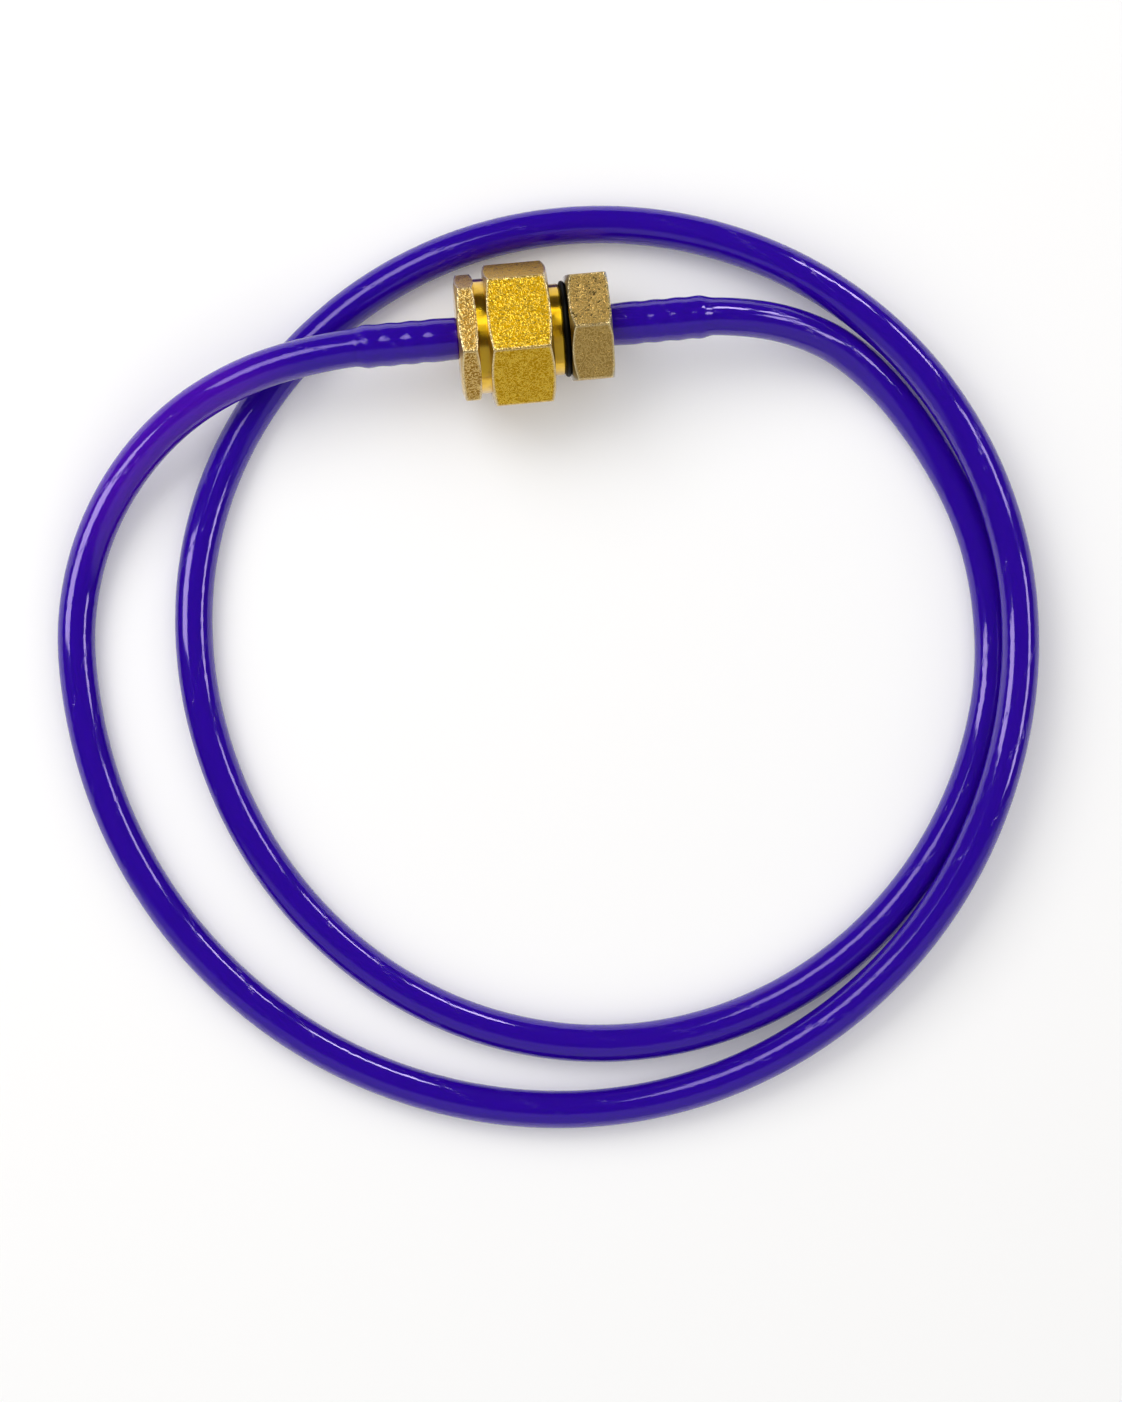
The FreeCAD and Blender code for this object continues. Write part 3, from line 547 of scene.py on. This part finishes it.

# %% [markdown]
# Polyurethane air tube is extruded: it leaves the die with a smooth, wet-looking gloss and only the
# faintest waviness, which shows as a slight wobble in the bright lines along it. A noise stretched along
# the tube bends those lines. Its colour goes right through but isn't opaque, so where the hose comes up
# from the table towards the union, light gets in from below as well, and it glows a redder violet. That
# redder violet is painted light: the base colour is painted so over a stretch near the end of the hose.

# %% Finish of the tube
TUBE_COLOUR = "#2C049A"
PAINTED_GLOW_COLOUR = "#480BA6"
PAINTED_GLOW_FROM_THE_END = (30.0 * MM, 52.0 * MM, 78.0 * MM, 108.0 * MM)       # begins, full, full, ends
SHEEN_COLOUR = "#E4CCFF"
LIGHT_TRAVEL = (0.7, 0.15, 1.0)         # how far red, green and blue light get in it, as shares of the next
LIGHT_REACH = 4.0 * MM
WAVE_LENGTH = 14.0 * MM
WAVE_HEIGHT = 0.05 * MM


def violet_polyurethane():
    """Glossy extruded plastic, coloured through, that lets some light in, with painted glowing near the
    end.
    """
    made, tree, shader = new_material("Violet_polyurethane")
    shader.inputs["IOR"].default_value = 1.5
    shader.inputs["Roughness"].default_value = 0.07
    shader.inputs["Specular IOR Level"].default_value = 0.85
    shader.inputs["Specular Tint"].default_value = linear(SHEEN_COLOUR)
    shader.inputs["Subsurface Weight"].default_value = 1.0
    shader.inputs["Subsurface Radius"].default_value = LIGHT_TRAVEL
    shader.inputs["Subsurface Scale"].default_value = LIGHT_REACH

    along = add(tree, "ShaderNodeAttribute", attribute_name="tube_along").outputs["Fac"]
    angle = add(tree, "ShaderNodeAttribute", attribute_name="tube_angle").outputs["Fac"]
    waves = add(tree, "ShaderNodeMath", {0: along, 1: 1 / WAVE_LENGTH}, operation="MULTIPLY")
    across = add(tree, "ShaderNodeMath", {0: angle}, operation="SINE")
    above = add(tree, "ShaderNodeMath", {0: angle}, operation="COSINE")
    around = add(tree, "ShaderNodeCombineXYZ", {"X": waves.outputs[0], "Y": across.outputs[0],
                                                "Z": above.outputs[0]})
    waviness = add(tree, "ShaderNodeTexNoise", {"Vector": around.outputs[0], "Scale": 1.0, "Detail": 1.0})
    bumped = add(tree, "ShaderNodeBump", {"Height": waviness.outputs[0], "Distance": WAVE_HEIGHT})
    tree.links.new(bumped.outputs[0], shader.inputs["Normal"])

    # painted light: near the end the base colour turns a redder violet, standing in for light that gets in
    # from below
    from_end = add(tree, "ShaderNodeMath", {0: hose_length, 1: along}, operation="SUBTRACT").outputs[0]
    begins, full, fades, ends = PAINTED_GLOW_FROM_THE_END
    grows = add(tree, "ShaderNodeMapRange", {"Value": from_end, "From Min": begins, "From Max": full},
                interpolation_type="SMOOTHSTEP")
    sinks = add(tree, "ShaderNodeMapRange", {"Value": from_end, "From Min": ends, "From Max": fades},
                interpolation_type="SMOOTHSTEP")
    painted_glow = add(tree, "ShaderNodeMath", {0: grows.outputs[0], 1: sinks.outputs[0]}, operation="MINIMUM")
    colour = add(tree, "ShaderNodeMix", {"Factor": painted_glow.outputs[0], MIX_FIRST: linear(TUBE_COLOUR),
                                         MIX_SECOND: linear(PAINTED_GLOW_COLOUR)}, data_type="RGBA")
    tree.links.new(colour.outputs[MIX_RESULT], shader.inputs["Base Color"])
    return made


tube_finish = violet_polyurethane()
print(f"{tube_finish.name}: {len(tube_finish.node_tree.nodes)} nodes")

# %% [markdown]
# The line, the section, the tree and the finish now make the hose. A curve with a round bevel would take
# less work, but it has one radius all along and no bore, and this hose is wider over the barbs and open at
# both cut ends. It rides with the fixed half of the union and stands for the frame's own hose.

# %% Hose
HOSE_SIDES = 40
MERGE_DISTANCE = 0.002 * MM

hose = made_by(bend, "air_hose", section_mesh, {
    bend_inputs["line"]: hose_line,
    bend_inputs["sides"]: HOSE_SIDES,
    bend_inputs["merge"]: MERGE_DISTANCE,
    bend_inputs["material"]: tube_finish,
})
bpy.data.objects.remove(hose_line)
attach(hose, "root")
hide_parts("hose")

# %% [markdown]
# All the hard pieces but a few are brass. Whatever the lathe cut, the ends, chamfers and collars, has
# rings finer than a tenth of a millimetre. They are too fine to draw, but they smear every mirrored lamp
# along the axis, and that is what the anisotropy of the shader is for: its direction comes from a radial
# tangent, a quarter turn on. A few wider rings are drawn as relief, and a bevel node takes the sharpness
# off the edges. A few stains are a deeper yellow and a little duller.

# %% Turned skin
RING_WIDTH = 0.5 * MM
RING_DEPTH = 0.002 * MM
TURNED_EDGE = 0.12 * MM
TURNED_COLOUR = "#F0C21C"
TURNED_ROUGHNESS = 0.3
STAINED_COLOUR = "#DCAA14"
STAIN_ROUGHNESS = 0.06          # what a stain adds
STAIN_SIZE = 2.5 * MM
STAIN_BEGINS = 0.5              # value of the noise where a stain begins
STAIN_FULL = 0.75               # and where it is full
QUARTER_TURN = 0.25


def turned_skin(tree, colour=TURNED_COLOUR, stained_colour=STAINED_COLOUR):
    """The shader of what the lathe cut."""
    place = add(tree, "ShaderNodeTexCoord").outputs["Object"]
    along = add(tree, "ShaderNodeSeparateXYZ", {0: place}).outputs["X"]
    rings = add(tree, "ShaderNodeTexNoise", {"W": along, "Scale": 1 / RING_WIDTH, "Detail": 2.0},
                noise_dimensions="1D").outputs[0]
    rounded = add(tree, "ShaderNodeBevel", {"Radius": TURNED_EDGE}, samples=4).outputs[0]
    bumped = add(tree, "ShaderNodeBump", {"Height": rings, "Distance": RING_DEPTH, "Normal": rounded})
    stains = add(tree, "ShaderNodeTexNoise", {"Vector": place, "Scale": 1 / STAIN_SIZE, "Detail": 4.0})
    stained = add(tree, "ShaderNodeMapRange",
                  {"Value": stains.outputs[0], "From Min": STAIN_BEGINS, "From Max": STAIN_FULL},
                  interpolation_type="SMOOTHSTEP").outputs[0]
    toned = add(tree, "ShaderNodeMix", {"Factor": stained, MIX_FIRST: linear(colour),
                                        MIX_SECOND: linear(stained_colour)}, data_type="RGBA")
    rough = add(tree, "ShaderNodeMath", {0: stained, 1: STAIN_ROUGHNESS, 2: TURNED_ROUGHNESS},
                operation="MULTIPLY_ADD")
    tangent = add(tree, "ShaderNodeTangent", direction_type="RADIAL", axis="X")
    return add(tree, "ShaderNodeBsdfPrincipled", {
        "Base Color": toned.outputs[MIX_RESULT], "Metallic": 1.0, "Roughness": rough.outputs[0],
        "Normal": bumped.outputs[0], "Anisotropic": 1.0, "Anisotropic Rotation": QUARTER_TURN,
        "Tangent": tangent.outputs[0], "Coat Weight": 0.8, "Coat Roughness": 0.15})


def turned_brass():
    """Brass that is turned all over."""
    made, tree, shader = new_material("Turned_brass")
    tree.links.new(turned_skin(tree).outputs[0], tree.nodes["Material Output"].inputs["Surface"])
    tree.nodes.remove(shader)
    return made


turned_finish = turned_brass()
print(f"{turned_finish.name}: {len(turned_finish.node_tree.nodes)} nodes")

# %% [markdown]
# The flats of the hexagons keep the skin of the hot pressing and tumbling that shaped them: worm-like
# ridges less than half a millimetre apart, which glitter where they can mirror a lamp and vanish where
# they mirror the plain table. They are drawn at 0.55 mm, a little too coarse, so that they show in a
# picture of the whole. The ridges run where a smooth noise is near its middle. Tumbling polished their
# crests and left the hollows dull. It also wore the corners bright, and their pale colour is partly that
# wear and partly a painted highlight: a bevel node gives the normal that a rounded corner would have,
# and where that differs from the true one there is a corner.

# %% Pressed skin
GRAIN = 0.55 * MM
NOISE_MIDDLE = 0.5
RIDGE_FOOT = 0.16               # how far the noise is from its middle at the foot of a ridge
CREST_ROUGHNESS = 0.24
HOLLOW_ROUGHNESS = 0.42
CORNER_RADIUS = 0.9 * MM
CORNER_BEGINS = 0.995           # how alike the true and the rounded normal are where a worn corner begins
CORNER_FULL = 0.97              # and where it is full
# pale corner colour: partly wear, partly a painted highlight along the corners
WORN_AND_HIGHLIGHT_COLOUR = "#FBE6B0"


def pressed_skin(tree, colour, hollow_colour, depth):
    """The shader of the grainy flats."""
    place = add(tree, "ShaderNodeTexCoord").outputs["Object"]
    noise = add(tree, "ShaderNodeTexNoise", {"Vector": place, "Scale": 1 / GRAIN, "Detail": 0.0,
                                             "Distortion": 0.5}).outputs[0]
    around = add(tree, "ShaderNodeMath", {0: noise, 1: NOISE_MIDDLE}, operation="SUBTRACT")
    away = add(tree, "ShaderNodeMath", {0: around.outputs[0]}, operation="ABSOLUTE")
    ridges = add(tree, "ShaderNodeMapRange",
                 {"Value": away.outputs[0], "From Min": RIDGE_FOOT, "From Max": 0.0},
                 interpolation_type="SMOOTHSTEP").outputs[0]
    bumped = add(tree, "ShaderNodeBump", {"Height": ridges, "Distance": depth})

    rounded = add(tree, "ShaderNodeBevel", {"Radius": CORNER_RADIUS}, samples=8).outputs[0]
    true_normal = add(tree, "ShaderNodeNewGeometry").outputs["Normal"]
    alike = add(tree, "ShaderNodeVectorMath", {0: rounded, 1: true_normal}, operation="DOT_PRODUCT")
    corner = add(tree, "ShaderNodeMapRange",
                 {"Value": alike.outputs["Value"], "From Min": CORNER_BEGINS, "From Max": CORNER_FULL},
                 interpolation_type="SMOOTHSTEP").outputs[0]

    toned = add(tree, "ShaderNodeMix", {"Factor": ridges, MIX_FIRST: linear(hollow_colour),
                                        MIX_SECOND: linear(colour)}, data_type="RGBA")
    # paints the corners pale, partly as wear and partly as a painted highlight
    worn_and_highlit = add(tree, "ShaderNodeMix", {"Factor": corner, MIX_FIRST: toned.outputs[MIX_RESULT],
                                       MIX_SECOND: linear(WORN_AND_HIGHLIGHT_COLOUR)}, data_type="RGBA")
    polished = add(tree, "ShaderNodeMath", {0: ridges, 1: corner}, operation="MAXIMUM")
    rough = add(tree, "ShaderNodeMath", {0: polished.outputs[0], 1: CREST_ROUGHNESS - HOLLOW_ROUGHNESS,
                                         2: HOLLOW_ROUGHNESS}, operation="MULTIPLY_ADD")
    return add(tree, "ShaderNodeBsdfPrincipled", {
        "Base Color": worn_and_highlit.outputs[MIX_RESULT], "Metallic": 1.0, "Roughness": rough.outputs[0],
        "Normal": bumped.outputs[0]})


# %% [markdown]
# Nut, flange and tail are one piece of brass each, pressed to a hexagon and then cut on the lathe at both
# ends and inside. Two materials on one piece would need faces sorted by hand. So one net holds the pressed
# and the turned skin, and chooses by how far the surface faces along the axis and by where the hexagon
# ends. The three differ in tone: the nut is the most yellow, the flange tan and the tail the dullest.

# %% Brass of the three hexagons
PRESSED_ENDS = 0.2              # how far a surface faces along the axis where the pressed skin ends
TURNED_BEGINS = 0.3             # and where the turned one has taken over
NUT_LEFT = -9.85
NUT_RIGHT = 3.5
FLANGE_RIGHT = -11.9
TAIL_LEFT = 7.25


def pressed_brass(name, left, right, cut_colours, **skin):
    """Brass with the grainy skin between two places along the axis and the turned one elsewhere."""
    made, tree, shader = new_material(name)
    tree.nodes.remove(shader)
    coordinates = add(tree, "ShaderNodeTexCoord").outputs
    axes = add(tree, "ShaderNodeSeparateXYZ", {0: coordinates["Normal"]}).outputs
    facing = add(tree, "ShaderNodeMath", {0: axes["X"]}, operation="ABSOLUTE")
    turned = add(tree, "ShaderNodeMapRange",
                 {"Value": facing.outputs[0], "From Min": PRESSED_ENDS, "From Max": TURNED_BEGINS},
                 interpolation_type="SMOOTHSTEP")
    along = add(tree, "ShaderNodeSeparateXYZ", {0: coordinates["Object"]}).outputs["X"]
    off = add(tree, "ShaderNodeMath", {0: along, 1: (left + right) / 2 * MM}, operation="SUBTRACT")
    distance = add(tree, "ShaderNodeMath", {0: off.outputs[0]}, operation="ABSOLUTE")
    beyond = add(tree, "ShaderNodeMath", {0: distance.outputs[0], 1: (right - left) / 2 * MM},
                 operation="GREATER_THAN")
    either = add(tree, "ShaderNodeMath", {0: turned.outputs[0], 1: beyond.outputs[0]}, operation="MAXIMUM")
    both = add(tree, "ShaderNodeMixShader", {0: either.outputs[0], 1: pressed_skin(tree, **skin).outputs[0],
                                             2: turned_skin(tree, *cut_colours).outputs[0]})
    tree.links.new(both.outputs[0], tree.nodes["Material Output"].inputs["Surface"])
    return made


nut_finish = pressed_brass("Bright_pressed_brass", NUT_LEFT, NUT_RIGHT, ("#C8A028", "#A88420"),
                           colour="#F6CE48", hollow_colour="#CA9A0C", depth=0.034 * MM)
flange_finish = pressed_brass("Tan_pressed_brass", FLANGE_LEFT, FLANGE_RIGHT,
                              (TURNED_COLOUR, STAINED_COLOUR),
                              colour="#F6D27E", hollow_colour="#AC8030", depth=0.036 * MM)
tail_finish = pressed_brass("Dull_pressed_brass", TAIL_LEFT, TAIL_RIGHT, ("#8C7C4C", "#74683C"),
                            colour="#E2BE70", hollow_colour="#BC9850", depth=0.042 * MM)
print(f"{nut_finish.name}: {len(nut_finish.node_tree.nodes)} nodes, and as many in the other two")

# %% [markdown]
# The rings that seal are nitrile rubber: nearly black, with a faint sheen and the fine pitting of the
# mould. The slip ring is white acetal, and the valve's spring and the retaining ring are spring steel.
# These are small and mostly closed in, so one short net serves all three: spots of a second tone, which
# are a little duller, over a fine relief. Only the colours and numbers differ.

# %% Rubber, plastic and steel
SPOT_BEGINS = 0.4               # value of the noise where a spot begins
SPOT_FULL = 0.7                 # and where it is full
SPOT_ROUGHNESS = 0.1            # what a spot adds


def fine_surface(name, colour, spot_colour, roughness, metallic, spot_size, depth):
    """A near-even finish with small spots of another tone and a fine relief from the same noise."""
    made, tree, shader = new_material(name)
    place = add(tree, "ShaderNodeTexCoord").outputs["Object"]
    noise = add(tree, "ShaderNodeTexNoise", {"Vector": place, "Scale": 1 / spot_size, "Detail": 3.0})
    spots = add(tree, "ShaderNodeMapRange",
                {"Value": noise.outputs[0], "From Min": SPOT_BEGINS, "From Max": SPOT_FULL},
                interpolation_type="SMOOTHSTEP").outputs[0]
    toned = add(tree, "ShaderNodeMix", {"Factor": spots, MIX_FIRST: linear(colour),
                                        MIX_SECOND: linear(spot_colour)}, data_type="RGBA")
    tree.links.new(toned.outputs[MIX_RESULT], shader.inputs["Base Color"])
    bumped = add(tree, "ShaderNodeBump", {"Height": noise.outputs[0], "Distance": depth})
    tree.links.new(bumped.outputs[0], shader.inputs["Normal"])
    rough = add(tree, "ShaderNodeMath", {0: spots, 1: SPOT_ROUGHNESS, 2: roughness},
                operation="MULTIPLY_ADD")
    tree.links.new(rough.outputs[0], shader.inputs["Roughness"])
    shader.inputs["Metallic"].default_value = metallic
    return made


rubber_finish = fine_surface("Nitrile_rubber", "#050505", "#0C0C0C", roughness=0.4, metallic=0.0,
                             spot_size=0.3 * MM, depth=0.01 * MM)
rubber_finish.node_tree.nodes["Principled BSDF"].inputs["Specular IOR Level"].default_value = 0.08
acetal_finish = fine_surface("White_acetal", "#EFEEE8", "#E3E1D8", roughness=0.38, metallic=0.0,
                             spot_size=0.6 * MM, depth=0.005 * MM)
steel_finish = fine_surface("Spring_steel", "#A8A6A2", "#85827D", roughness=0.26, metallic=1.0,
                            spot_size=0.2 * MM, depth=0.004 * MM)
print(f"{rubber_finish.name}: {len(rubber_finish.node_tree.nodes)} nodes, and as many in the other two")

# %% [markdown]
# The valve's spring is four turns of steel wire between the poppet's head and the guide. It gets shorter
# when the poppet lifts, which a rigid piece of the frame can't do. A spiral with a round section takes
# its place, laid along the axis over the length of the frame's spring.

# %% Valve spring
WIRE_DIAMETER = 0.6 * MM
SPRING_TURNS = 4.0
POINTS_A_TURN = 32
WIRE_SIDES = 12
Z_TO_AXIS = (math.pi / 2, 0.0, math.pi / 2)     # turns a spiral that climbs along Z to lie along X


def spring_tree():
    """The tree that winds a spring along X and the identifiers of its inputs."""
    tree = bpy.data.node_groups.new("wound_spring", "GeometryNodeTree")
    names = {
        "turns": add_input(tree, "Turns", "NodeSocketFloat"),
        "radius": add_input(tree, "Radius", "NodeSocketFloat"),
        "length": add_input(tree, "Length", "NodeSocketFloat"),
        "wire": add_input(tree, "Wire Radius", "NodeSocketFloat"),
        "place": add_input(tree, "Place", "NodeSocketVector"),
        "material": add_input(tree, "Material", "NodeSocketMaterial"),
    }
    tree.interface.new_socket("Spring", in_out="OUTPUT", socket_type="NodeSocketGeometry")
    given = add(tree, "NodeGroupInput").outputs
    spiral = add(tree, "GeometryNodeCurveSpiral", {
        "Resolution": POINTS_A_TURN, "Rotations": given["Turns"], "Start Radius": given["Radius"],
        "End Radius": given["Radius"], "Height": given["Length"], "Reverse": True})
    laid = add(tree, "GeometryNodeTransform", {"Geometry": spiral.outputs[0], "Rotation": Z_TO_AXIS,
                                               "Translation": given["Place"]})
    circle = add(tree, "GeometryNodeCurvePrimitiveCircle",
                 {"Resolution": WIRE_SIDES, "Radius": given["Wire Radius"]})
    wound = add(tree, "GeometryNodeCurveToMesh", {"Curve": laid.outputs[0], "Fill Caps": True,
                                                  "Profile Curve": circle.outputs["Curve"]})
    smooth = add(tree, "GeometryNodeSetShadeSmooth", {"Geometry": wound.outputs[0]})
    real = add(tree, "GeometryNodeRealizeInstances", {"Geometry": smooth.outputs[0]})
    finished = add(tree, "GeometryNodeSetMaterial",
                   {"Geometry": real.outputs[0], "Material": given["Material"]})
    add(tree, "NodeGroupOutput", {0: finished.outputs[0]})
    return tree, names


low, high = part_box("valve_spring")
wind, wind_inputs = spring_tree()
spring = made_by(wind, "wound_spring", bpy.data.meshes.new("wound_spring"), {
    wind_inputs["turns"]: SPRING_TURNS,
    wind_inputs["radius"]: (high[1] - low[1] - WIRE_DIAMETER) / 2,
    wind_inputs["length"]: high[0] - low[0] - WIRE_DIAMETER,
    wind_inputs["wire"]: WIRE_DIAMETER / 2,
    wind_inputs["place"]: (low[0] + WIRE_DIAMETER / 2, 0.0, UNION_AXIS_HEIGHT),
    wind_inputs["material"]: steel_finish,
})
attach(spring, "root")
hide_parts("valve_spring")
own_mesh(spring)

# %% [markdown]
# The other pieces are rigid and come from the frame with their true shapes, so they need only a finish.
# A dictionary says which piece gets which, and reads like the parts list of the union.

# %% Finishes of the pieces of the frame
FINISHES = {
    "barbed_body": flange_finish,
    "hose_tail": tail_finish,
    "union_nut": nut_finish,
    "swivel_nipple": turned_finish,
    "valve_poppet": turned_finish,
    "valve_guide": turned_finish,
    "tail_o_ring": rubber_finish,
    "face_seal": rubber_finish,
    "poppet_seal": rubber_finish,
    "slip_ring": acetal_finish,
    "retaining_ring": steel_finish,
}
for node, finish in FINISHES.items():
    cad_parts[node].data.materials.clear()
    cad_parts[node].data.materials.append(finish)
print(f"{len(FINISHES)} pieces of the frame have their finish")
